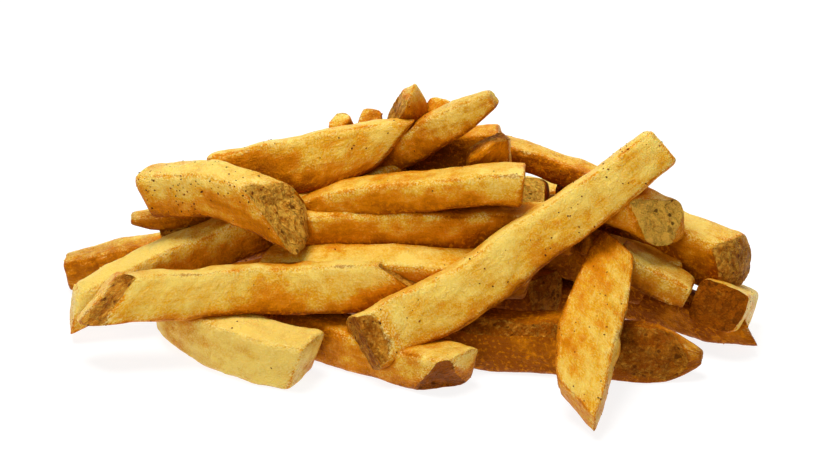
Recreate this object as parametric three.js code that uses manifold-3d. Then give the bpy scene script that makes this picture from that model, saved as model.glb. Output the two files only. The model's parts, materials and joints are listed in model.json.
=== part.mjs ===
// A loose heap of thick-cut french fries with the skin left on, as it lies on a table.
// Millimetres, +Z up. The origin is on the table, under the middle of the heap: +X runs along the heap
// and -Y is its front. A fry is a bar with worn edges, bent along a curve, narrowed at its ends and cut
// off straight or aslant. The fries are joined where they touch, round a low mound that fills the inside,
// so the heap is one solid.
import * as THREE from 'three';
import { mergeVertices } from 'three/addons/utils/BufferGeometryUtils.js';
import Module from 'manifold-3d';

// ---------------------------------------------------------------- driving dimensions, mm
const CUT = 10;                // side of the square that most fries are cut to
const EDGE = 0.3;              // worn long edges: their share of a fry's half side
const LENGTHS = 5;             // lengths that a fry is divided into along its curve
const TAPER = 0.35;            // share of its length over which the end of a fry narrows
const TABLE = { half: 200, height: 100 };    // the space above the table that the heap is kept to
const MOUND = { x: -4, y: 14, halfLength: 46, halfWidth: 24, height: 20, sides: 24, rings: 4 };

// from, to: middles of a fry's two ends. wide, high: its section. bow: how far its middle is off the
// straight line. roll: degrees about its own length. ends: the size left at each end, 1 for untapered.
// slant: how far each cut leans along the fry, at its side edge and at its upper edge, first end first.
const ON_THE_TABLE = [
  {
    from: [-59, 2, 6], to: [-25.5, -23.6, 6], wide: 12, high: 12, bow: [-3, -3, 0], ends: [0.8, 1],
    slant: [0, 0, 1, 2],
  },
  { from: [-45, 8, 5], to: [9, -28, 4.7], wide: 11, bow: [0, -2, 0], ends: [1, 0.94], slant: [0, 0, 2, 1] },
  {
    from: [2, -10, 6], to: [65, -21, 4.8], wide: 11, high: 12.5, bow: [0, -1, 0.4], ends: [1, 0.22],
    taper: 0.24,
  },
  { from: [36, 20, 5], to: [77, -6, 5.5], high: 9, ends: [1, 0.7], slant: [0, 0, -3, -2] },
  { from: [-88, 27, 4.5], to: [-35, 30, 13], wide: 9.5, high: 9, ends: [0.85, 1] },
];
// lying across those
const ACROSS = [
  { from: [-74.5, -13, 16.5], to: [2, -8, 18], wide: 9, high: 11.2, roll: -18, slant: [-1.5, 5, 0, -4] },
  { from: [-83, 0, 7], to: [-4, 16, 35], bow: [0, 0, 2], ends: [0.85, 1], slant: [0, 3, 0, 0] },
  { from: [-15, 8, 12], to: [33, -1, 11], high: 9.5 },
  { from: [-36, 1, 17], to: [25, -4, 17], wide: 9.5, high: 9, bow: [0, -4, 3], roll: 15 },
  { from: [-28, 4, 26.3], to: [36, 0, 28], wide: 9.5, high: 9.5, bow: [0, 0, 1] },
  { from: [14, 10, 25], to: [54, 4, 12], wide: 9.5, high: 9.5 },
  { from: [35, 24, 25], to: [78, 0, 16.5], wide: 12, high: 13.5, ends: [1, 0.9] },
];
// the upper ones, with the long one that leans across the front and the one at its foot
const UPPER = [
  { from: [-30, 7, 28], to: [24, -2, 39.3], wide: 8.5, high: 8, bow: [0, -1, 3.3], ends: [0.85, 1.05] },
  {
    from: [-64, 11, 33], to: [-27, -5.5, 30.5], wide: 10.5, high: 11, bow: [0, 0, 4],
    slant: [0, -1, 0, -3.5],
  },
  { from: [-49, 16, 33], to: [-5.5, 12, 44.5], high: 13.3, roll: -18, ends: [1, 0.7], slant: [0, 0, 0, 6] },
  { from: [-20, 20, 31], to: [17, 8, 57.5], wide: 8, high: 8, ends: [1, 0.45] },
  { from: [4, 27, 38], to: [44, 13.5, 32.5], wide: 7.5, high: 5.5, bow: [0, 0, 3] },
  {
    from: [-14.2, -22, 8.2], to: [55.9, 3, 48], high: 12.7, bow: [0, 0, -3.6], roll: -26,
    ends: [1.05, 0.76], taper: 0.9,
  },
  {
    from: [46.5, -4, 25], to: [34.2, -45.2, 5.6], wide: 14, high: 7.5, bow: [-1, 0, -1],
    ends: [0.68, 0.72], slant: [0, 0, 5.5, 0], taper: 0.45,
  },
];
// short ones, and ends of fries that show between the others
const SHORT = [
  { from: [-69.5, 14, 24.5], to: [-20, 18, 29], wide: 8, high: 5.5, bow: [0, 0, -1], ends: [0.4, 1] },
  { from: [46, -1, 20.5], to: [63, -6, 13.3], wide: 9, high: 8.5, ends: [1, 0.88] },
  { from: [38, 1, 25], to: [61, 3, 16.5], wide: 8, high: 5 },
  { from: [75.5, 8, 5], to: [69.2, -11, 13.7], wide: 12, roll: -13 },
  { from: [-62, 12, 20], to: [-35, 17, 26], wide: 8, high: 7 },
  { from: [40, 5, 34.5], to: [59, -4, 30], high: 9.5, slant: [0, 0, 1, -1] },
  { from: [16, 12, 23], to: [16, 8, 47], wide: 9.5, high: 8, slant: [0, 0, 4, 0] },
  { from: [2, 31, 26], to: [-5.5, 16, 54], wide: 11.5, high: 9, ends: [1, 0.8], slant: [0, 0, 4, 0] },
  { from: [-10, 30, 33], to: [-12, 22, 46.8], wide: 5, high: 7 },
  { from: [-15, 30, 33], to: [-19.5, 22, 46.5], wide: 4, high: 5 },
  { from: [15, 33, 32], to: [4, 17, 51], wide: 6, high: 6 },
  { from: [27.5, 20, 27], to: [25.5, 5, 33.5], wide: 7.5, high: 8, slant: [0, 0, 1.5, 0] },
  { from: [28, 18, 25], to: [46, 8, 30], wide: 8, high: 6.5 },
  { from: [-2, 22, 36.5], to: [20, 19, 41], wide: 8, high: 9 },
  { from: [2, 20, 5], to: [46, 5, 5.5] },
];
// the back, and two that fill the inside
const BEHIND = [
  { from: [-64, 34, 5], to: [0, 42, 5], bow: [0, 2, 0] },
  { from: [-26, 57, 5], to: [34, 45, 5], high: 9.5, bow: [0, -2, 0] },
  { from: [20, 36, 5.5], to: [60, 22, 5], wide: 9.5 },
  { from: [-40, 39, 15], to: [22, 33, 15] },
  { from: [-62, 26, 13], to: [-36, 50, 12.5], wide: 9, high: 9 },
  { from: [10, 48, 14.5], to: [54, 32, 13.5], high: 9.5, bow: [0, 2, 0] },
  { from: [-45, 30, 23], to: [-3, 28, 27], wide: 9.5, high: 9.5, bow: [0, 0, 2] },
  { from: [-30, 57, 12], to: [-18, 34, 33], high: 9.5, ends: [0.7, 1] },
  { from: [9, 62, 4.5], to: [3, 36, 31], wide: 9, high: 9, ends: [0.6, 1] },
  { from: [42, 35, 18.5], to: [6, 29, 25], wide: 9.5, high: 9 },
  { from: [-34, 16, 6], to: [28, 14, 6], wide: 12, high: 12 },
  { from: [-30, 8, 16], to: [30, 20, 17], wide: 12, high: 12 },
];

const FRIED_POTATO = new THREE.MeshStandardMaterial({ color: 0xd79a35, roughness: 0.5, metalness: 0 });

const wasm = await Module();
wasm.setup();

// ---------------------------------------------------------------- one fry
// The section of a fry: a square of half side 1 with its corners cut back by EDGE.
function sectionShape() {
  const flat = 1 - EDGE;
  const shape = new THREE.Shape();
  shape.moveTo(1, -flat);
  for (const [x, y] of [[1, flat], [flat, 1], [-flat, 1], [-1, flat], [-1, -flat], [-flat, -1], [flat, -1]]) {
    shape.lineTo(x, y);
  }
  return shape;
}

// The size left at the share t of the length, where the ends narrow to ends[0] and ends[1].
function narrowing(t, ends, taper) {
  const nearStart = Math.max(0, 1 - t / taper) ** 2;
  const nearEnd = Math.max(0, 1 - (1 - t) / taper) ** 2;
  return 1 - (1 - ends[0]) * nearStart - (1 - ends[1]) * nearEnd;
}

// The middle line, as points and directions. It runs on straight past t = 0 and t = 1, where a slanted
// cut reaches out.
function middleLine(from, to, bow) {
  const start = new THREE.Vector3(...from);
  const end = new THREE.Vector3(...to);
  const middle = start.clone().add(end).divideScalar(2).addScaledVector(new THREE.Vector3(...bow), 2);
  const curve = new THREE.QuadraticBezierCurve3(start, middle, end);
  const length = start.distanceTo(end);
  return (t) => {
    const inside = Math.min(1, Math.max(0, t));
    const along = curve.getTangent(inside);
    return { length, along, point: curve.getPoint(inside).addScaledVector(along, (t - inside) * length) };
  };
}

// What a fry is where its entry does not say otherwise: straight, level, untapered and cut square.
const PLAIN = {
  wide: CUT, high: CUT, bow: [0, 0, 0], roll: 0, ends: [1, 1], slant: [0, 0, 0, 0], taper: TAPER,
};

function fry(one) {
  const { from, to, wide, high, bow, roll, ends, slant, taper } = { ...PLAIN, ...one };
  const bar = new THREE.ExtrudeGeometry(sectionShape(), { depth: 1, steps: LENGTHS, bevelEnabled: false });
  bar.deleteAttribute('normal');
  bar.deleteAttribute('uv');
  const geometry = mergeVertices(bar);
  const lineAt = middleLine(from, to, bow);
  const corners = geometry.attributes.position;
  for (let i = 0; i < corners.count; i += 1) {
    const [p, q, t] = [corners.getX(i), corners.getY(i), corners.getZ(i)];
    const lean = (1 - t) * (p * slant[0] + q * slant[1]) + t * (p * slant[2] + q * slant[3]);
    const { along, point } = lineAt(t + lean / lineAt(t).length);
    const side = new THREE.Vector3(0, 0, 1).cross(along).normalize();
    side.applyAxisAngle(along, THREE.MathUtils.degToRad(roll));
    const up = along.clone().cross(side);
    const size = narrowing(t, ends, taper);
    point.addScaledVector(side, p * size * wide / 2).addScaledVector(up, q * size * high / 2);
    corners.setXYZ(i, point.x, point.y, point.z);
  }
  return geometry;
}

// ---------------------------------------------------------------- the mound inside
function mound({ x, y, halfLength, halfWidth, height, sides, rings }) {
  const profile = [];
  for (let i = 0; i <= rings; i += 1) {
    const angle = (i / rings) * (Math.PI / 2);
    profile.push(new THREE.Vector2(Math.cos(angle), Math.sin(angle)));
  }
  profile[rings].x = 0;
  const dome = new THREE.LatheGeometry([new THREE.Vector2(0, 0), ...profile], sides);
  dome.deleteAttribute('normal');
  dome.deleteAttribute('uv');
  dome.rotateX(Math.PI / 2);
  dome.scale(halfLength, halfWidth, height);
  dome.translate(x, y, 0);
  return mergeVertices(dome);
}

// ---------------------------------------------------------------- joining
function solid(geometry) {
  const vertProperties = Float32Array.from(geometry.attributes.position.array);
  const triVerts = Uint32Array.from(geometry.index.array);
  return new wasm.Manifold(new wasm.Mesh({ numProp: 3, vertProperties, triVerts }));
}

function aboveTable({ half, height }) {
  const box = new THREE.BoxGeometry(2 * half, 2 * half, height);
  box.deleteAttribute('normal');
  box.deleteAttribute('uv');
  box.translate(0, 0, height / 2);
  return mergeVertices(box);
}

// The fries and the mound as one solid, flat where they meet the table. Pockets that the fries close off
// from the air are left filled, because only the outermost shell is kept.
function heap() {
  const fries = [...ON_THE_TABLE, ...ACROSS, ...UPPER, ...SHORT, ...BEHIND].map((one) => solid(fry(one)));
  const joined = fries.reduce((whole, one) => whole.add(one), solid(mound(MOUND)));
  const trimmed = joined.intersect(solid(aboveTable(TABLE)));
  const [outer] = trimmed.decompose().sort((a, b) => b.volume() - a.volume());
  const { vertProperties, triVerts } = outer.getMesh();
  const geometry = new THREE.BufferGeometry();
  geometry.setAttribute('position', new THREE.BufferAttribute(vertProperties, 3));
  geometry.setIndex(new THREE.BufferAttribute(triVerts, 1));
  geometry.computeVertexNormals();
  return geometry;
}

const part = new THREE.Group();
const fries = new THREE.Mesh(heap(), FRIED_POTATO);
fries.name = 'fries_heap';
part.add(fries);

export default part;
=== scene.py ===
# %% [markdown]
# # A heap of french fries
#
# Thick-cut fries with the skin left on, lying across each other. The heap's size and place come from a
# fixed frame, a plain solid of the whole heap, and this lesson puts the real fries in its place: each
# one a bent bar with worn edges, blistered faces, patches of potato skin and a speckle of pepper.
#
# Every shape that repeats is made by Geometry Nodes, from trees that are written here as Python, and
# every colour by a small set of shader expressions.

# %% Load the frame
import json
import math

import bmesh
import bpy
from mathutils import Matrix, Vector

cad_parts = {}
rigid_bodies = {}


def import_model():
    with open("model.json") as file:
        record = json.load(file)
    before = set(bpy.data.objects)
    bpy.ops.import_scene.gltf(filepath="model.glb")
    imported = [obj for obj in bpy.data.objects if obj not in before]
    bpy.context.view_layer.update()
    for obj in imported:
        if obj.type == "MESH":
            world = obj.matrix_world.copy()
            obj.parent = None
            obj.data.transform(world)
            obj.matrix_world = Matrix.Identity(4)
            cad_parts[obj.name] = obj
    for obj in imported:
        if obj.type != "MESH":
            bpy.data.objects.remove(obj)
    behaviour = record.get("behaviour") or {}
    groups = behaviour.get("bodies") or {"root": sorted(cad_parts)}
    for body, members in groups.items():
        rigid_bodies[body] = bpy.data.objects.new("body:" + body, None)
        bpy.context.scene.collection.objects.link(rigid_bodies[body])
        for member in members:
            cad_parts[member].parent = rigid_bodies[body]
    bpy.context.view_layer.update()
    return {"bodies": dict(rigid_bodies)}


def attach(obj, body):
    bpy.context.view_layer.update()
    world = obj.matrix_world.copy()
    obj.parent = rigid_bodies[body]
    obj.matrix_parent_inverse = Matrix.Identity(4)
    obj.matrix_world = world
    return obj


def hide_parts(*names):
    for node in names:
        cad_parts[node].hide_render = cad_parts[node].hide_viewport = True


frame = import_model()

HEAP = "fries_heap"
BODY = next(iter(frame["bodies"]))
MM = 0.001

# %% [markdown]
# ## Nodes written as sums
#
# A node tree is a long sum drawn as boxes, and long sums are easier to read as text. `Wire` wraps one
# socket. Adding or multiplying wires, or asking for the larger of two, adds the Math nodes that do it, or
# Vector Math nodes if one side is a vector. `Sheet.add` makes any other node: its settings are set first,
# because they decide which sockets it has, and then its sockets get their values or links. The same two
# classes serve Geometry Nodes and shaders, as both kinds of tree share these nodes.

# %% Wires
def is_vector(item):
    return isinstance(item, tuple) or (isinstance(item, Wire) and item.socket.type in ("VECTOR", "RGBA"))


class Wire:
    """One socket's value, which can be used in sums."""

    def __init__(self, sheet, socket):
        self.sheet = sheet
        self.socket = socket

    def do(self, operation, *others):
        items = [self, *others]
        kind = "ShaderNodeVectorMath" if any(map(is_vector, items)) else "ShaderNodeMath"
        return self.sheet.add(kind, {"operation": operation}, dict(enumerate(items)))

    def flipped(self, operation, other):
        """The sum with the plain number or tuple on the left."""
        kind = "ShaderNodeVectorMath" if is_vector(self) or is_vector(other) else "ShaderNodeMath"
        return self.sheet.add(kind, {"operation": operation}, {0: other, 1: self})

    def __add__(self, other):
        return self.do("ADD", other)

    __radd__ = __add__

    def __sub__(self, other):
        return self.do("SUBTRACT", other)

    def __rsub__(self, other):
        return self.flipped("SUBTRACT", other)

    def __mul__(self, other):
        return self.do("MULTIPLY", other)

    __rmul__ = __mul__

    def __truediv__(self, other):
        return self.do("DIVIDE", other)

    def __pow__(self, other):
        return self.do("POWER", other)

    def __abs__(self):
        return self.do("ABSOLUTE")

    def __neg__(self):
        return self * -1.0

    def most(self, other):
        return self.do("MAXIMUM", other)

    def least(self, other):
        return self.do("MINIMUM", other)

    def between(self, low, high):
        return self.most(low).least(high)

    def sine(self):
        return self.do("SINE")

    def cosine(self):
        return self.do("COSINE")

    def cross(self, other):
        return self.do("CROSS_PRODUCT", other)

    def dot(self, other):
        settings = {"operation": "DOT_PRODUCT"}
        return self.sheet.add("ShaderNodeVectorMath", settings, {0: self, 1: other}, out="Value")

    def unit(self):
        return self.do("NORMALIZE")

    def length(self):
        return self.sheet.add("ShaderNodeVectorMath", {"operation": "LENGTH"}, {0: self}, out="Value")

    def parts(self):
        return self.sheet.add("ShaderNodeSeparateXYZ", values={0: self}, out=("X", "Y", "Z"))

    def ramp(self, low, high):
        """0 below low and 1 above high, with a straight rise between."""
        return self.add_range(low, high, "LINEAR")

    def step(self, low, high):
        """0 below low and 1 above high, with a smooth rise between."""
        return self.add_range(low, high, "SMOOTHSTEP")

    def add_range(self, low, high, kind):
        values = {"Value": self, "From Min": low, "From Max": high}
        return self.sheet.add("ShaderNodeMapRange", {"interpolation_type": kind}, values)

# %% Sheets
def pick(sockets, key):
    if isinstance(key, int):
        return sockets[key]
    return next(s for s in sockets if s.name == key and s.enabled)


class Sheet:
    """A node tree that is written, not drawn."""

    def __init__(self, tree):
        self.tree = tree
        tree.nodes.clear()

    def feed(self, socket, value):
        if isinstance(value, Wire):
            self.tree.links.new(value.socket, socket)
        elif socket.type == "VECTOR" and isinstance(value, (int, float)):
            socket.default_value = (value,) * 3
        elif socket.type == "RGBA":
            socket.default_value = (*value[:3], 1.0)
        else:
            socket.default_value = value

    def add(self, kind, settings=None, values=None, out=0):
        node = self.tree.nodes.new(kind)
        for name, value in (settings or {}).items():
            setattr(node, name, value)
        for key, value in (values or {}).items():
            self.feed(pick(node.inputs, key), value)
        if isinstance(out, tuple):
            return [Wire(self, pick(node.outputs, one)) for one in out]
        return Wire(self, pick(node.outputs, out)) if node.outputs else node

    def vector(self, x, y, z):
        return self.add("ShaderNodeCombineXYZ", values={0: x, 1: y, 2: z})

    def mix(self, share, one, other):
        """The colour one, turning into other as share goes from 0 to 1."""
        return self.add(
            "ShaderNodeMix", {"data_type": "RGBA"}, {"Factor": share, "A": one, "B": other}, out="Result"
        )

    def noise(self, place, every, detail=2.0, rough=0.5, out="Fac"):
        """Clouds that come and go about once in so many units of place."""
        values = {"Vector": place, "Scale": 1 / every, "Detail": detail, "Roughness": rough}
        return self.add("ShaderNodeTexNoise", values=values, out=out)

    def cells(self, place, every, out="Distance"):
        return self.add("ShaderNodeTexVoronoi", values={"Vector": place, "Scale": 1 / every}, out=out)

    def named(self, label):
        settings = {"data_type": "FLOAT_VECTOR"}
        return self.add("GeometryNodeInputNamedAttribute", settings, {"Name": label}, out="Attribute")

    def keep(self, mesh, label, value):
        """Store a value on each point of a mesh under a name."""
        values = {"Geometry": mesh, "Name": label, "Value": value}
        return self.add("GeometryNodeStoreNamedAttribute", {"data_type": "FLOAT_VECTOR"}, values)


print("sums on wires: + - * / ** abs, and step, least, most, unit, cross")

# %% [markdown]
# ## The fries, as they lie
#
# A heap has no rule of its own. A physics simulation would drop the fries into some heap, but not into
# this one, so each is laid one by one, in millimetres: the middles of its two ends, its width and height,
# how far its middle is bowed off the straight line, how far it is rolled about its length, how much its
# ends narrow, and how its cuts lean. These are the solid's own numbers, but for two fries: the thick one
# at the right is 0.8 mm thinner from below, and the flat one in front has its upper cut aslant. Four more
# numbers say how a fry looks: `pale`, how little the oil has coloured it; `brown`, how toasted its edges
# are; `peel`, how far its skin has flaked; and `pepper`, how thickly it is dusted. On most fries that lie
# on the table, a low `pale` and a high `brown` are partly their own colour and partly painted shade.
#
# The skin is where the knife met the outside of the potato. That is a rule worth using: a potato is
# round, so `skin` gives a point of its outside and the way that it faces there, in the fry's own axes
# (side, up, along), and what would lie outside that round surface is pressed back onto it. Shape and
# colour then come from the same place, as they do on a real fry.

# %% Describe a fry
NO_SKIN = {"point": Vector(), "centre": Vector(), "radius": 1000.0, "span": 0.0}


def skin(side, up, along, facing, radius=60.0, span=22.0):
    """
    A patch of skin, in mm, around a point of a fry. Along is counted from the start of the fry, or back
    from its end where it is negative. The potato's radius there rounds the patch, and span bounds it.
    """
    return {"point": Vector((side, up, along)), "facing": Vector(facing).normalized(), "radius": radius,
            "span": span}


def placed(patch, length):
    """The same patch counted from the middle of its fry, with the middle of its potato."""
    half_way = Vector((0, 0, length / 2))
    point = patch["point"] + half_way if patch["point"].z < 0 else patch["point"] - half_way
    return {**patch, "point": point, "centre": point - patch["facing"] * patch["radius"]}


def fry(start, finish, wide=10.0, high=10.0, bow=(0, 0, 0), roll=0.0, ends=(1, 1), taper=0.35,
        slant=(0, 0, 0, 0), skins=(), pale=0.0, brown=0.0, peel=0.3, pepper=0.2):
    length = math.dist(start, finish)
    one, two = [placed(patch, length) for patch in skins] + [NO_SKIN] * (2 - len(skins))
    return {
        "start": start, "finish": finish, "bow": bow, "section": (wide, high, math.radians(roll)),
        "ends": (*ends, taper), "first_cut": (*slant[:2], 0), "last_cut": (*slant[2:], 0),
        "point_1": one["point"], "point_2": two["point"], "centre_1": one["centre"],
        "centre_2": two["centre"], "radii": (one["radius"], two["radius"], 0),
        "spans": (one["span"], two["span"], 0), "tone": (pale, brown, peel), "dusting": (pepper, 0, 0),
    }

# %% Lay the fries
# Most fries on the table have low pale and high brown: partly their own colour, partly painted shade.
ON_THE_TABLE = [
    fry((-59, 2, 6), (-25.5, -23.6, 6), 12, 12, bow=(-3, -3, 0), ends=(0.8, 1), slant=(0, 0, 1, 2),
        pale=2.0, brown=0.25, pepper=0.1),
    fry((-45, 8, 5), (9, -28, 4.7), 11, bow=(0, -2, 0), ends=(1, 0.94), slant=(0, 0, 2, 1),
        skins=[skin(-4.2, -2.5, -4, (-0.62, -0.45, 0.64), 30, 16)], pale=-1.1, brown=0.3, peel=-0.4),
    fry((2, -10, 6), (65, -21, 4.8), 11, 12.5, bow=(0, -1, 0.4), ends=(1, 0.22), taper=0.24,
        skins=[skin(-4.4, 4.6, 18, (-0.6, 0.8, 0), 400, 40), skin(-4.6, 0, -12, (-0.95, 0.2, 0.1), 80, 9)],
        pale=-3.6, brown=1.0, peel=0.0),
    fry((36, 20, 5), (77, -6, 5.5), high=9, ends=(1, 0.7), slant=(0, 0, -3, -2), pale=-2.6, brown=1.5),
    fry((-88, 27, 4.5), (-35, 30, 13), 9.5, 9, ends=(0.85, 1), pale=-1.9, brown=0.8),
]
ACROSS = [
    fry((-74.5, -13, 16.5), (2, -8, 18), 9, 11.2, roll=-18, slant=(-1.5, 5, 0, -4),
        skins=[skin(-2.5, 0, 1.5, (-0.6, 0, -0.8), 45), skin(-4.5, 5.6, -11, (-0.72, 0.56, 0.41), 60, 16)],
        pale=-0.3, peel=0.4, pepper=0.1),
    fry((-83, 0, 7), (-4, 16, 35), bow=(0, 0, 2), ends=(0.85, 1), slant=(0, 3, 0, 0), pale=1.0),
    fry((-15, 8, 12), (33, -1, 11), high=9.5, skins=[skin(-4, 0, -5, (-0.7, 0.15, 0.7), 30)],
        pale=-0.1, brown=0.3, peel=0.15),
    fry((-36, 1, 17), (25, -4, 17), 9.5, 9, bow=(0, -4, 3), roll=15, pale=0.4),
    fry((-28, 4, 26.3), (36, 0, 28), 9.5, 9.5, bow=(0, 0, 1), pale=-0.9),
    fry((14, 10, 25), (54, 4, 12), 9.5, 9.5, pale=-0.5),
    fry((35, 24, 25.4), (78, 0, 17), 12, 12.7, ends=(1, 0.9),
        skins=[skin(-1, 1.5, -3.5, (-0.35, 0.3, 0.88), 16, 13)], pale=-1.8, peel=0.55),
]
UPPER = [
    fry((-30, 7, 28), (24, -2, 39.3), 8.5, 8, bow=(0, -1, 3.3), ends=(0.85, 1.05), pale=-1.3, pepper=0.6),
    fry((-64, 11, 33), (-27, -5.5, 30.5), 10.5, 11, bow=(0, 0, 4), slant=(0, -1, 0, -3.5),
        skins=[skin(-1.5, 2, -3.8, (-0.45, 0.55, 0.7), 22, 12), skin(1, -1, -0.8, (0.2, -0.15, 0.97), 25, 9)],
        pale=-0.7, brown=0.2, peel=0.8, pepper=5.0),
    fry((-49, 16, 33), (-5.5, 12, 44.5), high=13.3, roll=-18, ends=(1, 0.7), slant=(0, 0, 0, 6),
        pale=-0.8, pepper=0.9),
    fry((-20, 20, 31), (17, 8, 57.5), 8, 8, ends=(1, 0.45), pale=-0.6, brown=0.4),
    fry((4, 27, 38), (44, 13.5, 32.5), 7.5, 5.5, bow=(0, 0, 3), pale=-2.3, brown=0.3),
    fry((-14.2, -22, 8.2), (55.9, 3, 48), 10, 12.7, bow=(0, 0, -3.6), roll=-26, ends=(1.05, 0.76), taper=0.9,
        skins=[skin(-4.9, 0, 5.8, (-0.97, 0.05, -0.25), 400, 30), skin(0, 0, 0.7, (-0.25, 0, -0.97), 40, 14)],
        pale=0.3, peel=0.2, pepper=2.0),
    fry((46.5, -4, 25), (34.2, -45.2, 5.6), 14, 7.5, bow=(-1, 0, -1), ends=(0.68, 0.72), taper=0.45,
        slant=(3.2, 0, 5.5, 0),
        skins=[skin(-6.6, 0, -12, (-0.95, -0.3, 0), 150, 13), skin(6.6, 0, 12, (0.97, -0.2, 0), 150, 12)],
        pale=-2.3, pepper=1.4),
]
SHORT = [
    fry((-69.5, 14, 24.5), (-20, 18, 29), 8, 5.5, bow=(0, 0, -1), ends=(0.4, 1), pale=-0.4, brown=0.7),
    fry((46, -1, 20.5), (63, -6, 13.3), 9, 8.5, ends=(1, 0.88), skins=[skin(0, -4, -8, (-0.3, -0.95, 0), 60)],
        brown=0.3),
    fry((38, 1, 25), (61, 3, 16.5), 8, 5, pale=-0.2, brown=0.2),
    fry((75.5, 8, 5), (69.2, -11, 13.7), 12, roll=-13, skins=[skin(0, 0, -1, (-0.05, 0.05, 1), 60)],
        pale=0.3, peel=-0.4),
    fry((-62, 12, 20), (-35, 17, 26), 8, 7, skins=[skin(0, 3, 13, (-0.35, 0.93, 0), 200, 30)], brown=0.5),
    fry((40, 5, 34.5), (59, -4, 30), high=9.5, slant=(0, 0, 1, -1),
        skins=[skin(-2.5, 2.5, -4.5, (-0.6, 0.45, 0.66), 20, 14)], pale=0.1, peel=1.15),
    fry((16, 12, 23), (16, 8, 47), 9.5, 8, slant=(0, 0, 4, 0), skins=[skin(2, 2, -2, (0.4, 0.4, 0.8), 20)],
        pale=0.4),
    fry((2, 31, 26), (-5.5, 16, 54), 11.5, 9, ends=(1, 0.8), slant=(0, 0, 4, 0),
        skins=[skin(-3, -2.4, -5, (-0.65, -0.5, 0.55), 14)], pale=-0.3, peel=0.6),
    fry((-10, 30, 33), (-12, 22, 46.8), 5, 7, pale=-0.5, brown=0.8),
    fry((-15, 30, 33), (-19.5, 22, 46.5), 4, 5, pale=0.3),
    fry((15, 33, 32), (4, 17, 51), 6, 6, pale=-0.7),
    fry((27.5, 20, 27), (25.5, 5, 33.5), 7.5, 8, slant=(0, 0, 1.5, 0),
        skins=[skin(0, 2.5, -5, (0, 0.8, 0.6), 25)], pale=0.2, peel=1.2),
    fry((28, 18, 25), (46, 8, 30), 8, 6.5, pale=-0.6),
    fry((-2, 22, 36.5), (20, 19, 41), 8, 9, pale=-1.4),
    fry((2, 20, 5), (46, 5, 5.5), pale=-2.0),
]
BEHIND = [
    fry((-64, 34, 5), (0, 42, 5), bow=(0, 2, 0), skins=[skin(4.6, 1, 9, (0.9, 0.2, -0.3), 80)], pale=0.2),
    fry((-26, 57, 5), (34, 45, 5), high=9.5, bow=(0, -2, 0), skins=[skin(0, 1, -3, (0.3, 0.4, 0.85), 30)]),
    fry((20, 36, 5.5), (60, 22, 5), 9.5, pale=-0.2),
    fry((-40, 39, 15), (22, 33, 15), skins=[skin(2, 3.8, 6, (0.5, 0.7, -0.5), 40)], pale=0.4),
    fry((-62, 26, 13), (-36, 50, 12.5), 9, 9, pale=-0.4),
    fry((10, 48, 14.5), (54, 32, 13.5), high=9.5, bow=(0, 2, 0),
        skins=[skin(3, 2, -6, (0.6, 0.4, 0.6), 30)], pale=0.1),
    fry((-45, 30, 23), (-3, 28, 27), 9.5, 9.5, bow=(0, 0, 2), pale=-0.1),
    fry((-30, 57, 12), (-18, 34, 33), high=9.5, ends=(0.7, 1),
        skins=[skin(0, 0, 2, (0, -0.3, -0.95), 20)], pale=0.3),
    fry((9, 62, 4.5), (3, 36, 31), 9, 9, ends=(0.6, 1), pale=-0.3),
    fry((42, 35, 18.5), (6, 29, 25), 9.5, 9, skins=[skin(-3, 2, -6, (-0.5, 0.5, 0.7), 25)], pale=0.1),
    fry((-34, 16, 6), (28, 14, 6), 12, 12, pale=-0.3),
    fry((-30, 8, 16), (30, 20, 17), 12, 12, pale=-0.3),
]
LAYERS = {"table": ON_THE_TABLE, "across": ACROSS, "upper": UPPER, "short": SHORT, "behind": BEHIND}
print({name: len(fries) for name, fries in LAYERS.items()}, "fries")

# %% [markdown]
# ## One bar becomes every fry
#
# A bar of small cells is copied to a seed for each fry, and each copy is then moved into its own shape.
# This is a rule along a path, so Geometry Nodes suit it: the cells know only where they sit on the bar,
# `spot`, and the seed tells them which fry they belong to. In the fry's own axes, in millimetres, the
# rule is: wear the edges round, let the bar waver and swell a little as cut potato does, press it back
# onto the round outside of the potato where there is skin, narrow the ends, and bend it along its line.
# Last, the surface gets its blisters, and nothing goes below the table.
#
# Every tree here has named sizes, which its modifier may set before its one run. What shapes a fry
# travels on its seed under `SHAPE_LABELS` and is cleared away after growing. What colours it, under
# `LOOK_LABELS`, stays on the mesh.

# %% Trees with named sizes
SHAPE_LABELS = ("start", "finish", "bow", "section", "ends", "first_cut", "last_cut", "point_1", "point_2",
                "centre_1", "centre_2", "radii", "spans", "own")
LOOK_LABELS = ("tone", "dusting")
HELPERS = (*SHAPE_LABELS, "spot")


def new_tree(name, sizes):
    """A tree for a modifier, with its incoming mesh and one wire for each named size."""
    tree = bpy.data.node_groups.new(name, "GeometryNodeTree")
    tree.is_modifier = True
    tree.interface.new_socket("Geometry", in_out="INPUT", socket_type="NodeSocketGeometry")
    tree.interface.new_socket("Geometry", in_out="OUTPUT", socket_type="NodeSocketGeometry")
    for label, value in sizes.items():
        kind = "NodeSocketInt" if isinstance(value, int) else "NodeSocketFloat"
        tree.interface.new_socket(label, in_out="INPUT", socket_type=kind).default_value = value
    sheet = Sheet(tree)
    mesh, *wires = sheet.add("NodeGroupInput", out=("Geometry", *sizes))
    return sheet, mesh, dict(zip(sizes, wires))


def close_tree(sheet, mesh, material):
    """End a tree the way every one here ends: as plain, smooth mesh of one material."""
    mesh = sheet.add("GeometryNodeRealizeInstances", values={"Geometry": mesh})
    mesh = sheet.add("GeometryNodeSetShadeSmooth", values={"Geometry": mesh})
    mesh = sheet.add("GeometryNodeSetMaterial", values={"Geometry": mesh, "Material": material})
    sheet.add("NodeGroupOutput", values={"Geometry": mesh})
    return sheet.tree


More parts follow.
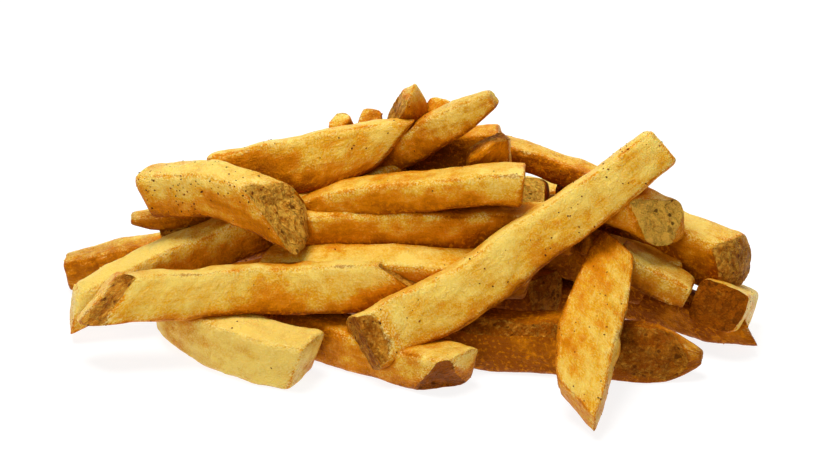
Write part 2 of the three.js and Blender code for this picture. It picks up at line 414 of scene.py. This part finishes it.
def grow(piece, tree, **sizes):
    """Run a tree on a piece once, and keep the result as its plain mesh."""
    maker = piece.modifiers.new("maker", "NODES")
    maker.node_group = tree
    wanted = {label.replace("_", " "): value for label, value in sizes.items()}
    for item in tree.interface.items_tree:
        if item.in_out == "INPUT" and item.name in wanted:
            maker[item.identifier] = wanted[item.name]
    ready = piece.evaluated_get(bpy.context.evaluated_depsgraph_get())
    mesh = bpy.data.meshes.new_from_object(ready)
    piece.modifiers.remove(maker)
    piece.data = mesh
    for label in HELPERS:
        if label in mesh.attributes:
            mesh.attributes.remove(mesh.attributes[label])
    print(f"{piece.name}: {sum(len(f.vertices) - 2 for f in mesh.polygons)} triangles")

# %% Wear and press a bar
# The worn edge is a share of the fry's thickness. The sizes after it are in mm.
FRY_SIZES = {
    "Points along": 145, "Points across": 23, "Worn edge": 0.13, "Waver": 1.7, "Lumps": 0.7,
    "Blisters": 0.32, "Wrinkles": 0.5, "Puff": 0.5,
}
print("sizes of a fry:", FRY_SIZES)
CROWDED = 0.35
CROWDED_AT_ENDS = 0.05
EDGE_RANGE = (0.3, 1.6)
SOFT_STEP = 1.5
TINY = 0.0001


def crowd(spot, share, power):
    """Move cells that lie evenly from -1 to 1 towards both ends, where the edges need them."""
    return spot * (1 + share - share * abs(spot) ** power)


def wear(place, half, edge):
    """Round the edges and corners of a box."""
    inner = half - edge
    held = place.most(-inner).least(inner)
    corner = place - held
    x, y, z = abs(corner).parts()
    return held + corner * (x.most(y).most(z) / corner.length().most(TINY))


def press(place, point, centre, radius, span):
    """Press what lies outside a round potato onto it, within a patch, and say how far that was."""
    away = place - centre
    reach = away.length()
    within = span - (place - point).length()
    share = 1 - (1 - radius / reach.most(TINY)).most(0.0) * within.step(0.0, SOFT_STEP)
    return centre + away * share, (reach - radius).least(within)

# %% Bend it along its line
def bend(sheet, shape, spread, length):
    """Lay a straight shape, in mm, along its fry's own line."""
    start, finish = sheet.named("start"), sheet.named("finish")
    roll = sheet.named("section").parts()[2]
    first, last, taper = sheet.named("ends").parts()
    x, y, z = shape.parts()
    t = z / length + 0.5
    narrow = (
        1
        - (1 - first) * (1 - t / taper).most(0.0) ** 2
        - (1 - last) * (1 - (1 - t) / taper).most(0.0) ** 2
    )
    lean = (1 - t) * sheet.named("first_cut").dot(spread) + t * sheet.named("last_cut").dot(spread)
    t = t + lean / length
    on = t.between(0.0, 1.0)
    middle = (start + finish) * 0.5 + sheet.named("bow") * 2
    line = start * (1 - on) ** 2 + middle * (2 * on * (1 - on)) + finish * on ** 2
    along = ((middle - start) * (1 - on) + (finish - middle) * on).unit()
    level = along.cross((0, 0, -1)).unit()
    side = level * roll.cosine() + along.cross(level) * roll.sine()
    up = along.cross(side)
    return line + along * ((t - on) * length) + side * (x * narrow) + up * (y * narrow)

# %% The tree of a fry
def fry_tree(material):
    sheet, seeds, size = new_tree("fries", FRY_SIZES)
    across = size["Points across"]
    cells = {"Size": (2, 2, 2), "Vertices X": across, "Vertices Y": across}
    cells["Vertices Z"] = size["Points along"]
    bar = sheet.add("GeometryNodeMeshCube", values=cells, out="Mesh")
    bar = sheet.keep(bar, "spot", sheet.add("GeometryNodeInputPosition"))
    bars = sheet.add("GeometryNodeInstanceOnPoints", values={"Points": seeds, "Instance": bar})
    bars = sheet.add("GeometryNodeRealizeInstances", values={"Geometry": bars})

    # A box with crowded cells, and edges that are worn here more and there less.
    p, q, t = sheet.named("spot").parts()
    wide, high, _ = sheet.named("section").parts()
    length = (sheet.named("finish") - sheet.named("start")).length()
    half = sheet.vector(wide, high, length) * 0.5
    spread = sheet.vector(crowd(p, CROWDED, 2), crowd(q, CROWDED, 2), 0)
    box = (spread + sheet.vector(0, 0, crowd(t, CROWDED_AT_ENDS, 8))) * half
    own = sheet.named("own")
    soft = sheet.noise(box * (1, 1, 0.6) + own, 11) * 3.2 - 0.6
    worn = wear(box, half, wide.least(high) * size["Worn edge"] * soft.between(*EDGE_RANGE))

    # Its faces puff out, it wavers along its length, lumps come and go, and the skin presses it round.
    u, v, _ = (worn / half).parts()
    worn = worn + sheet.vector(u * (0.6 - v * v), v * (0.6 - u * u), 0) * size["Puff"]
    waver = sheet.noise((worn + own) * (0, 0, 1), 24, out="Color") - 0.5
    lumps = sheet.noise(worn + own, 13, out="Color") - 0.5
    shape = worn + waver * (2, 2, 0) * size["Waver"] + lumps * 2 * size["Lumps"]
    radius_1, radius_2, _ = sheet.named("radii").parts()
    span_1, span_2, _ = sheet.named("spans").parts()
    shape, over_1 = press(shape, sheet.named("point_1"), sheet.named("centre_1"), radius_1, span_1)
    shape, over_2 = press(shape, sheet.named("point_2"), sheet.named("centre_2"), radius_2, span_2)
    skin_depth = over_1.most(over_2)

    # What the material needs is kept before the fry is bent into its place in the heap.
    gap_x, gap_y, gap_end = (half - abs(box)).parts()
    edge = gap_x.least(gap_y).most(gap_x.most(gap_y).least(gap_end))
    grain = shape + own
    bars = sheet.keep(bars, "grain", grain)
    bars = sheet.keep(bars, "marks", sheet.vector(edge.least(abs(skin_depth)), q, skin_depth))
    place = bend(sheet, shape, spread, length) * MM
    bars = sheet.add("GeometryNodeSetPosition", values={"Geometry": bars, "Position": place})

    # Blisters everywhere and wrinkles on the skin, but nothing below the table.
    blisters = (sheet.noise(grain, 3.4, 3.0) - 0.5) * 2 * size["Blisters"]
    wrinkles = (sheet.noise(grain, 2.0, 3.0) - 0.5) * 2 * size["Wrinkles"] * skin_depth.step(0.0, 0.4)
    normal = sheet.add("GeometryNodeInputNormal")
    here = sheet.add("GeometryNodeInputPosition") + normal * ((blisters + wrinkles) * MM)
    x, y, z = here.parts()
    on_table = sheet.vector(x, y, z.most(0.0))
    bars = sheet.add("GeometryNodeSetPosition", values={"Geometry": bars, "Position": on_table})
    return close_tree(sheet, bars, material)

# %% A seed for each fry
OWN_STEPS = (31.7, 17.3, 211.0)


def seed_mesh(name, fries, first_number):
    """One point for each fry, which carries what is special to it and its own place in every noise."""
    mesh = bpy.data.meshes.new(name)
    mesh.from_pydata([(0, 0, 0)] * len(fries), [], [])
    for number, one in enumerate(fries, first_number):
        one["own"] = tuple(step * number for step in OWN_STEPS)
    for label in (*SHAPE_LABELS, *LOOK_LABELS):
        data = mesh.attributes.new(label, "FLOAT_VECTOR", "POINT").data
        for item, one in zip(data, fries):
            item.vector = one[label]
    return mesh

# %% [markdown]
# ## Potato, fried
#
# A fried potato has a thin, dry, slightly oily crust over a white inside. Light goes a millimetre or
# two into it and comes out warmer, which a small constant subsurface gives. On top of it, one sum says
# how far each place has browned: broad clouds, smaller patches, long fibres and a fine crust, and more
# along the thin edges. The same sum holds painted shade, deeper where other fries lie close and on the
# undersides, lighter on the tops. The sum is then read as a colour, from pale through gold and orange to
# toast. Only after that come the crisp rims, orange freckles, pale grains of crust that are partly
# painted highlights, and tiny painted glints of oil along the edges.
#
# The skin is brown with tan clouds. `peel` says how much of it has flaked to a paler layer, and the pale
# flakes are partly painted glints. Winding creases are painted dark, partly their own colour and partly
# painted shade, and ragged eyes are dark in it.
#
# All of it reads `grain`, the place in the fry's own millimetres, so no pattern slides or stretches
# where a fry bends. `marks` holds the distance from the nearest edge or rim of skin, how far up the fry's
# section a place is, and how deep the skin was pressed.

# %% Colours
GLINT = (1.0, 0.86, 0.42)
CREAM = (0.98, 0.80, 0.32)
PALE = (0.94, 0.65, 0.12)
GOLD = (0.82, 0.40, 0.010)
ORANGE = (0.74, 0.235, 0.001)
TOAST = (0.32, 0.075, 0.001)
SKIN_TAN = (0.58, 0.205, 0.012)
SKIN_BROWN = (0.30, 0.07, 0.001)
SKIN_DARK = (0.11, 0.022, 0.0005)
SKIN_PALE = (0.94, 0.52, 0.07)

# Steps aside, in mm, so that patterns of one kind of noise don't fall on each other.
MOTTLE, LARGE_EYES, RAGGED, FLAKES_AND_GLINTS, FINE, THIN_CREASES, FRECKLES, GLINTS = 7, 9, 30, 50, 60, 90, 200, 400

# %% The flesh
def flesh_colour(sheet, grain, edge, pale, brown, painted_shade, crust):
    broad = sheet.noise(grain, 15, 2.0)
    patch = sheet.noise(grain, 4.5, 4.0, 0.6)
    fibre = sheet.noise(grain * (1, 1, 0.22), 1.2, 3.0, 0.6)
    at_edge = 1 - edge.ramp(0.0, 1.8)
    thin = 1 - edge.ramp(0.1, 0.9)
    # One sum for the browning, with the painted shade added in.
    browning_and_shade = (
        0.4 - pale * 0.35 + painted_shade + (broad - 0.5) * 2.3 + (patch - 0.5) * 2.8
        + (fibre - 0.5) * 1.2 + (0.5 - crust) * (0.2 + at_edge * 0.5) + thin * (patch - 0.25) * 2.4
    )
    colour = sheet.mix(browning_and_shade.ramp(-0.4, 0.5), PALE, GOLD)
    colour = sheet.mix(browning_and_shade.ramp(0.4, 1.05), colour, ORANGE)
    colour = sheet.mix(browning_and_shade.ramp(1.0, 2.2), colour, TOAST)
    rim = edge + (broad - 0.3 - brown * 0.22) * 5.0 + (patch - 0.5) * 3.5 + (crust - 0.5) * 0.6
    crisp = (1 - rim.step(-0.2, 0.6)) * 0.65
    toasted = brown * (patch + (broad - 0.5) * 0.5).ramp(0.35, 0.8)
    colour = sheet.mix(toasted.most(crisp), colour, TOAST)
    freckle = sheet.noise(grain + FRECKLES, 0.9, 2.0).ramp(0.53, 0.66)
    freckle = freckle * (browning_and_shade + broad - 0.6).ramp(0.0, 0.8)
    colour = sheet.mix(freckle * 0.7, colour, ORANGE)
    # Pale crust grains, partly painted highlights: strongest at the edges, fading where the colour is warm
    # and shaded.
    pale_grain_and_highlight = crust.ramp(0.4, 1.0) * (0.4 + at_edge * 0.45) * (1 - browning_and_shade.ramp(0.3, 1.2))
    colour = sheet.mix(pale_grain_and_highlight, colour, CREAM)
    # Painted glints of oil: a highlight painted into the colour along the edges, kept out of the painted
    # shade.
    glint = sheet.noise(grain + GLINTS, 0.55, 1.0).ramp(0.62, 0.72) * (0.1 + at_edge * 0.5)
    glint = glint * (1 - browning_and_shade.ramp(0.7, 1.3))
    return sheet.mix(glint, colour, GLINT)

# %% The skin
def spots(sheet, grain, every, wide, share):
    """Ragged spots, 1 inside: their places are a cell apart, and a share of the cells has none."""
    ragged = (sheet.noise(grain + every, wide, 3.0, 0.7) - 0.5) * (wide * 2.0)
    reach = sheet.cells(grain, every) * every + ragged
    chance = sheet.cells(grain, every, out="Color").parts()[0]
    return (1 - reach.step(wide * 0.6, wide)) * chance.step(share, share + 0.1)


def skin_colour(sheet, grain, peel, crease):
    mottle = sheet.noise(grain + MOTTLE, 4.0, 4.0, 0.65) + (peel - 0.4) * 0.3
    flake_and_glint = sheet.noise(grain + FLAKES_AND_GLINTS, 1.1, 4.0, 0.7) + (peel - 0.4) * 0.18
    colour = sheet.mix(mottle.ramp(0.38, 0.6), SKIN_BROWN, SKIN_TAN)
    # Paler flakes of skin, partly painted glints.
    colour = sheet.mix(flake_and_glint.ramp(0.46, 0.64) * (0.28 + peel * 0.6), colour, SKIN_PALE)
    # Creases painted dark: partly their own colour and partly painted shade in them.
    colour = sheet.mix(crease * (0.62 - peel * 0.2), colour, SKIN_DARK)
    eyes = spots(sheet, grain, 2.2, 0.55, 0.35).most(spots(sheet, grain + LARGE_EYES, 6.0, 1.1, 0.5))
    return sheet.mix(eyes * 0.85, colour, SKIN_DARK)


def creases(sheet, grain, every):
    """Thin winding lines, 1 in the middle of a crease and 0 away from it."""
    twist = (sheet.noise(grain, every * 1.4, 2.0, out="Color") - 0.5) * (every * 1.2)
    level = sheet.noise(grain + twist, every, 4.0, 0.6)
    return 1 - abs(level - 0.5).ramp(0.0, 0.06)

# %% The whole potato
def potato():
    material = bpy.data.materials.new("fried_potato")
    material.use_nodes = True
    sheet = Sheet(material.node_tree)
    grain = sheet.add("ShaderNodeAttribute", {"attribute_name": "grain"}, out="Vector")
    marks = sheet.add("ShaderNodeAttribute", {"attribute_name": "marks"}, out="Vector")
    tone = sheet.add("ShaderNodeAttribute", {"attribute_name": "tone"}, out="Vector")
    shelter = sheet.add("ShaderNodeAttribute", {"attribute_name": "shelter"}, out="Fac")
    edge, upper, skin_depth = marks.parts()
    # Painted shade: warmer and deeper where other fries lie close and on the undersides; painted light
    # makes the tops paler.
    painted_shade = shelter * 2.0 - 0.2 - upper * 0.65
    crust = sheet.noise(grain, 0.42, 2.0, 0.6).ramp(0.28, 0.72)
    ragged = sheet.noise(grain + RAGGED, 2.0, 4.0, 0.65)
    on_skin = (skin_depth + (ragged - 0.5) * 1.4).step(0.0, 0.25)
    crease = creases(sheet, grain, 4.5).most(creases(sheet, grain + THIN_CREASES, 2.0) * 0.5)
    pale, brown, peel = tone.parts()
    flesh = flesh_colour(sheet, grain, edge, pale, brown, painted_shade, crust)
    rubbed = peel + (1 - skin_depth.ramp(0.2, 1.6)) * 0.3
    colour = sheet.mix(on_skin, flesh, skin_colour(sheet, grain, rubbed, crease))
    blister = sheet.noise(grain, 1.7, 3.0, 0.6)
    fine = sheet.noise(grain + FINE, 0.8, 3.0, 0.65)
    height = crust * 0.24 + blister * 0.6 + on_skin * ((fine * 1.1 - crease * 0.4) * (0.5 + peel * 0.6))
    normal = sheet.add("ShaderNodeBump", values={"Strength": 1.0, "Distance": MM, "Height": height})
    gloss = sheet.noise(grain, 3.0, 3.0).ramp(0.3, 0.7)
    rough = 0.42 - gloss * 0.2 + shelter * 0.6 + on_skin * 0.15
    surface = {
        "Base Color": colour, "Roughness": rough, "Normal": normal, "IOR": 1.45, "Specular IOR Level": 0.17,
        "Specular Tint": (1.0, 0.6, 0.12),
        "Subsurface Weight": 0.15, "Subsurface Radius": (1.0, 0.32, 0.06), "Subsurface Scale": 0.002,
    }
    shader = sheet.add("ShaderNodeBsdfPrincipled", {"subsurface_method": "RANDOM_WALK"}, surface)
    sheet.add("ShaderNodeOutputMaterial", values={"Surface": shader})
    return material


POTATO = potato()
print("potato nodes:", len(POTATO.node_tree.nodes))

# %% [markdown]
# ## Growing the heap
#
# The fries are grown in five layers, so that no piece gets too heavy. The short ends, and the fries
# behind, need fewer cells than the long ones in front.

# %% Grow the layers
FRIES = fry_tree(POTATO)
CELLS = {"short": (57, 19), "behind": (101, 17)}
MOST_CELLS = (FRY_SIZES["Points along"], FRY_SIZES["Points across"])
number = 1
pieces = []
for layer, fries in LAYERS.items():
    mesh = seed_mesh(f"fries_{layer}", fries, number)
    piece = bpy.data.objects.new(f"fries_{layer}", mesh)
    bpy.context.collection.objects.link(piece)
    along, across = CELLS.get(layer, MOST_CELLS)
    grow(piece, FRIES, Points_along=along, Points_across=across)
    number += len(fries)
    pieces.append(piece)

# %% [markdown]
# ## How sheltered each place is
#
# Where fries lie against each other, less light reaches them, as it has been through other fries first,
# so those places are painted deeper in colour, as painted shade. The shader's Ambient Occlusion node
# could look for them, but rays that a tree casts once also tell the pepper where not to lie. From each
# point, rays go out over the half of space that it faces, and the share that meets a fry is its shelter,
# where the rays that go straight out count most. It is kept as an attribute and blurred a little,
# because a few rays make it patchy.

# %% A tree that casts rays
RAYS = 14
BLUR = 3
GOLDEN_ANGLE = math.pi * (3 - math.sqrt(5))


def ray_directions(count):
    """Directions spread evenly over a sphere."""
    for i in range(count):
        z = 1 - 2 * (i + 0.5) / count
        flat = math.sqrt(1 - z * z)
        yield flat * math.cos(GOLDEN_ANGLE * i), flat * math.sin(GOLDEN_ANGLE * i), z


def shelter_tree():
    sheet, mesh, size = new_tree("shelter", {"Reach": 0.03, "Start off": 0.0006})
    sheet.tree.interface.new_socket("Heap", in_out="INPUT", socket_type="NodeSocketObject")
    heap = sheet.add("NodeGroupInput", out="Heap")
    settings = {"transform_space": "ORIGINAL"}
    walls = sheet.add("GeometryNodeObjectInfo", settings, {"Object": heap}, out="Geometry")
    normal = sheet.add("GeometryNodeInputNormal")
    here = sheet.add("GeometryNodeInputPosition") + normal * size["Start off"]
    met, cast = 0.0, 0.0
    for direction in ray_directions(RAYS):
        facing = normal.dot(direction)
        ray = {"Target Geometry": walls, "Source Position": here, "Ray Length": size["Reach"]}
        ray["Ray Direction"] = facing.do("SIGN") * direction
        hit = sheet.add("GeometryNodeRaycast", values=ray, out="Is Hit")
        met = hit * abs(facing) + met
        cast = abs(facing) + cast
    values = {"Value": met / cast, "Iterations": BLUR}
    share = sheet.add("GeometryNodeBlurAttribute", {"data_type": "FLOAT"}, values)
    # Kept as shelter, which sets the painted shade of the potato, its roughness and where pepper lies.
    values = {"Geometry": mesh, "Name": "shelter", "Value": share}
    mesh = sheet.add("GeometryNodeStoreNamedAttribute", {"data_type": "FLOAT"}, values)
    return close_tree(sheet, mesh, POTATO)

# %% Cast them from every fry
def joined(name, pieces):
    """All the pieces as one object."""
    together = bmesh.new()
    for piece in pieces:
        together.from_mesh(piece.data)
    mesh = bpy.data.meshes.new(name)
    together.to_mesh(mesh)
    together.free()
    heap = bpy.data.objects.new(name, mesh)
    bpy.context.collection.objects.link(heap)
    return heap


walls = joined("walls", pieces)
shelter = shelter_tree()
for piece in pieces:
    grow(piece, shelter, Heap=walls)
bpy.data.objects.remove(walls)

# %% [markdown]
# ## Pepper and crumbs
#
# The fries are dusted with coarse pepper, which falls in flurries and more on some fries than on others,
# and fine crumbs of crust stand on their edges. Dots in the paint would lie flat, so both are small
# stones of twenty faces, flattened, turned at random and half sunk into the surface. Few of them are
# where fries lie close together, and there are none at the table. One tree makes both, with other sizes
# and another fixed seed.

# %% Paint for the pepper
PEPPER_BLACK = (0.08, 0.016, 0.001)
PEPPER_BROWN = (0.28, 0.06, 0.001)


def pepper_paint():
    material = bpy.data.materials.new("pepper")
    material.use_nodes = True
    sheet = Sheet(material.node_tree)
    place = sheet.add("ShaderNodeTexCoord", out="Object")
    colour = sheet.mix(sheet.noise(place, 2 * MM, 1.0).ramp(0.4, 0.6), PEPPER_BLACK, PEPPER_BROWN)
    surface = {"Base Color": colour, "Roughness": 0.6, "Specular IOR Level": 0.1}
    shader = sheet.add("ShaderNodeBsdfPrincipled", values=surface)
    sheet.add("ShaderNodeOutputMaterial", values={"Surface": shader})
    return material

# %% A tree that scatters
# Least and Most are a stone's radius in mm, and Flat is its height as a share of its length.
FLECK_SIZES = {
    "Per square metre": 42000.0, "Everywhere": 0.3, "At edges only": 0.0, "Least": 0.14, "Most": 0.36,
    "Flat": 0.5, "Seed": 3,
}
LOWEST_FLECK = 0.8 * MM


def fleck_tree(name, material):
    sheet, heap, size = new_tree(name, FLECK_SIZES)
    number = {"data_type": "FLOAT"}
    shelter = sheet.add("GeometryNodeInputNamedAttribute", number, {"Name": "shelter"}, out="Attribute")
    edge = sheet.named("marks").parts()[0]
    flurry = sheet.noise(sheet.named("grain"), 14, 2.0).ramp(0.46, 0.62)
    dusting = sheet.named("dusting").parts()[0]
    crumbly = 1 - edge.ramp(0.3, 1.2)
    share = (flurry + size["Everywhere"]) * (dusting + (crumbly - dusting) * size["At edges only"])
    share = share * (1 - shelter * 1.6).most(0.0)
    above = sheet.add("GeometryNodeInputPosition").parts()[2].do("GREATER_THAN", LOWEST_FLECK)
    values = {"Mesh": heap, "Selection": above, "Seed": size["Seed"]}
    values["Density"] = size["Per square metre"] * share
    points, turn = sheet.add("GeometryNodeDistributePointsOnFaces", values=values, out=("Points", "Rotation"))
    values = {"Min": (-0.5, -0.5, 0), "Max": (0.5, 0.5, 2 * math.pi), "Seed": size["Seed"] + 1}
    spin = sheet.add("FunctionNodeRandomValue", {"data_type": "FLOAT_VECTOR"}, values, out="Value")
    values = {"Rotation": turn, "Rotate By": spin}
    turn = sheet.add("FunctionNodeRotateRotation", {"rotation_space": "LOCAL"}, values)
    values = {"Min": size["Least"], "Max": size["Most"], "Seed": size["Seed"] + 2}
    radius = sheet.add("FunctionNodeRandomValue", number, values, out="Value") * MM
    stone = sheet.add("GeometryNodeMeshIcoSphere", values={"Radius": 1, "Subdivisions": 1}, out="Mesh")
    scale = sheet.vector(radius, radius * 0.7, radius * size["Flat"])
    values = {"Points": points, "Instance": stone, "Rotation": turn, "Scale": scale}
    return close_tree(sheet, sheet.add("GeometryNodeInstanceOnPoints", values=values), material)

# %% Scatter pepper and crumbs
CRUMB_SIZES = {"Seed": 8, "At_edges_only": 1.0, "Everywhere": 1.0, "Flat": 0.7, "Most": 0.42}
layers = list(pieces)


def scattered(name, material, **sizes):
    flecks = joined(name, layers)
    grow(flecks, fleck_tree(name, material), **sizes)
    return flecks


pieces.append(scattered("pepper", pepper_paint()))
pieces.append(scattered("crumbs", POTATO, **CRUMB_SIZES))

# %% [markdown]
# ## What is inside
#
# No one sees into the middle of the heap, but light would. The solid has a mound there. Here a dark,
# lumpy core keeps it shut, smaller than the mound, so that it lies well inside the fries and clear of the
# gaps that one can look through. Its dark brown is painted shade for the inside of the heap: it is
# painted as potato far from any edge or skin, on an underside, with a dark tone.

# %% The core
CORE_MIDDLE = (-4, 14, 9)
CORE_HALF = (36, 17, 9)
# Painted shade: far from edges, on an underside, and a dark tone.
CORE_MARKS = (4, -1, -4)
CORE_SHADE_TONE = (-3, 1, 0)
LOWEST_CORE = 0.5


def core_tree(material):
    sheet, _, size = new_tree("core", {"Swell": 2.0})
    cells = {"Segments": 48, "Rings": 24, "Radius": 1}
    ball = sheet.add("GeometryNodeMeshUVSphere", values=cells, out="Mesh")
    here = sheet.add("GeometryNodeInputPosition")
    bulk = here * CORE_HALF
    swollen = bulk + (sheet.noise(bulk, 8, out="Color") - 0.5) * 2 * size["Swell"] + CORE_MIDDLE
    x, y, z = swollen.parts()
    swollen = sheet.vector(x, y, z.most(LOWEST_CORE))
    ball = sheet.keep(ball, "grain", bulk)
    ball = sheet.keep(ball, "marks", sheet.vector(*CORE_MARKS))
    ball = sheet.keep(ball, "tone", sheet.vector(*CORE_SHADE_TONE))
    ball = sheet.add("GeometryNodeSetPosition", values={"Geometry": ball, "Position": swollen * MM})
    return close_tree(sheet, ball, material)


core = bpy.data.objects.new("core", bpy.data.meshes.new("core"))
bpy.context.collection.objects.link(core)
grow(core, core_tree(POTATO))
pieces.append(core)

# %% [markdown]
# ## Every piece rides on the one body
#
# The heap has no joints. Each piece rides on its body and stands in for the plain solid.

# %% Ride and replace
for piece in pieces:
    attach(piece, BODY)
    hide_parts(HEAP)
print(len(pieces), "pieces ride on", BODY)

# %% [markdown]
# ## Floor, light and camera
#
# Food is shown on white, so the floor glows by itself and takes only faint shadows. Three soft
# lights stand close: one overhead that makes the tops bright, a weak one to the front left, and a weak
# one behind for the far edges. A low warm glow all round keeps the faces in the shade from going black.
# The camera stands a little above the heap with a long lens.

# %% Floor
FLOOR_REACH = 3
FLOOR_LEVEL = -0.3 * MM
FLOOR_GREY = (0.2, 0.2, 0.2)
FLOOR_GLOW = 0.85


def floor_paint():
    material = bpy.data.materials.new("floor")
    material.use_nodes = True
    sheet = Sheet(material.node_tree)
    surface = {"Base Color": FLOOR_GREY, "Roughness": 0.9}
    surface |= {"Emission Color": (1, 1, 1), "Emission Strength": FLOOR_GLOW}
    shader = sheet.add("ShaderNodeBsdfPrincipled", values=surface)
    sheet.add("ShaderNodeOutputMaterial", values={"Surface": shader})
    return material


mesh = bpy.data.meshes.new("floor")
corners = [(x * FLOOR_REACH, y * FLOOR_REACH, FLOOR_LEVEL) for x, y in ((-1, -1), (1, -1), (1, 1), (-1, 1))]
mesh.from_pydata(corners, [], [(0, 1, 2, 3)])
mesh.materials.append(floor_paint())
floor = bpy.data.objects.new("floor", mesh)
bpy.context.collection.objects.link(floor)

# %% Lights
LIT_PLACE = Vector((0, 0, 0.03))


def soft_light(name, place, size, power):
    lamp = bpy.data.lights.new(name, "AREA")
    lamp.shape = "DISK"
    lamp.size = size
    lamp.energy = power
    holder = bpy.data.objects.new(name, lamp)
    holder.location = place
    holder.rotation_euler = (LIT_PLACE - Vector(place)).to_track_quat("-Z", "Y").to_euler()
    bpy.context.collection.objects.link(holder)


soft_light("overhead", (-0.12, 0.0, 0.74), 0.36, 4.8)
soft_light("front", (-0.45, -0.65, 0.40), 0.3, 1.2)
soft_light("behind", (0.15, 0.60, 0.42), 0.35, 1.3)
world = bpy.data.worlds.new("studio")
world.use_nodes = True
room = Sheet(world.node_tree)
glow = room.add("ShaderNodeBackground", values={"Color": (1, 0.94, 0.82), "Strength": 0.30})
room.add("ShaderNodeOutputWorld", values={"Surface": glow})
bpy.context.scene.world = world
print(len(bpy.data.lights), "soft lights")

# %% Camera
VIEW_TARGET = Vector((0, 0, 0.028))
VIEW_DISTANCE = 0.52
VIEW_RISE = math.radians(24)
lens = bpy.data.cameras.new("camera")
lens.lens = 95
lens.sensor_width = 36
camera = bpy.data.objects.new("camera", lens)
camera.location = VIEW_TARGET + VIEW_DISTANCE * Vector((0, -math.cos(VIEW_RISE), math.sin(VIEW_RISE)))
camera.rotation_euler = (math.pi / 2 - VIEW_RISE, 0, 0)
bpy.context.collection.objects.link(camera)
bpy.context.scene.camera = camera
bpy.context.scene.view_settings.view_transform = "Standard"
print("camera at", [round(v, 3) for v in camera.location], "m")
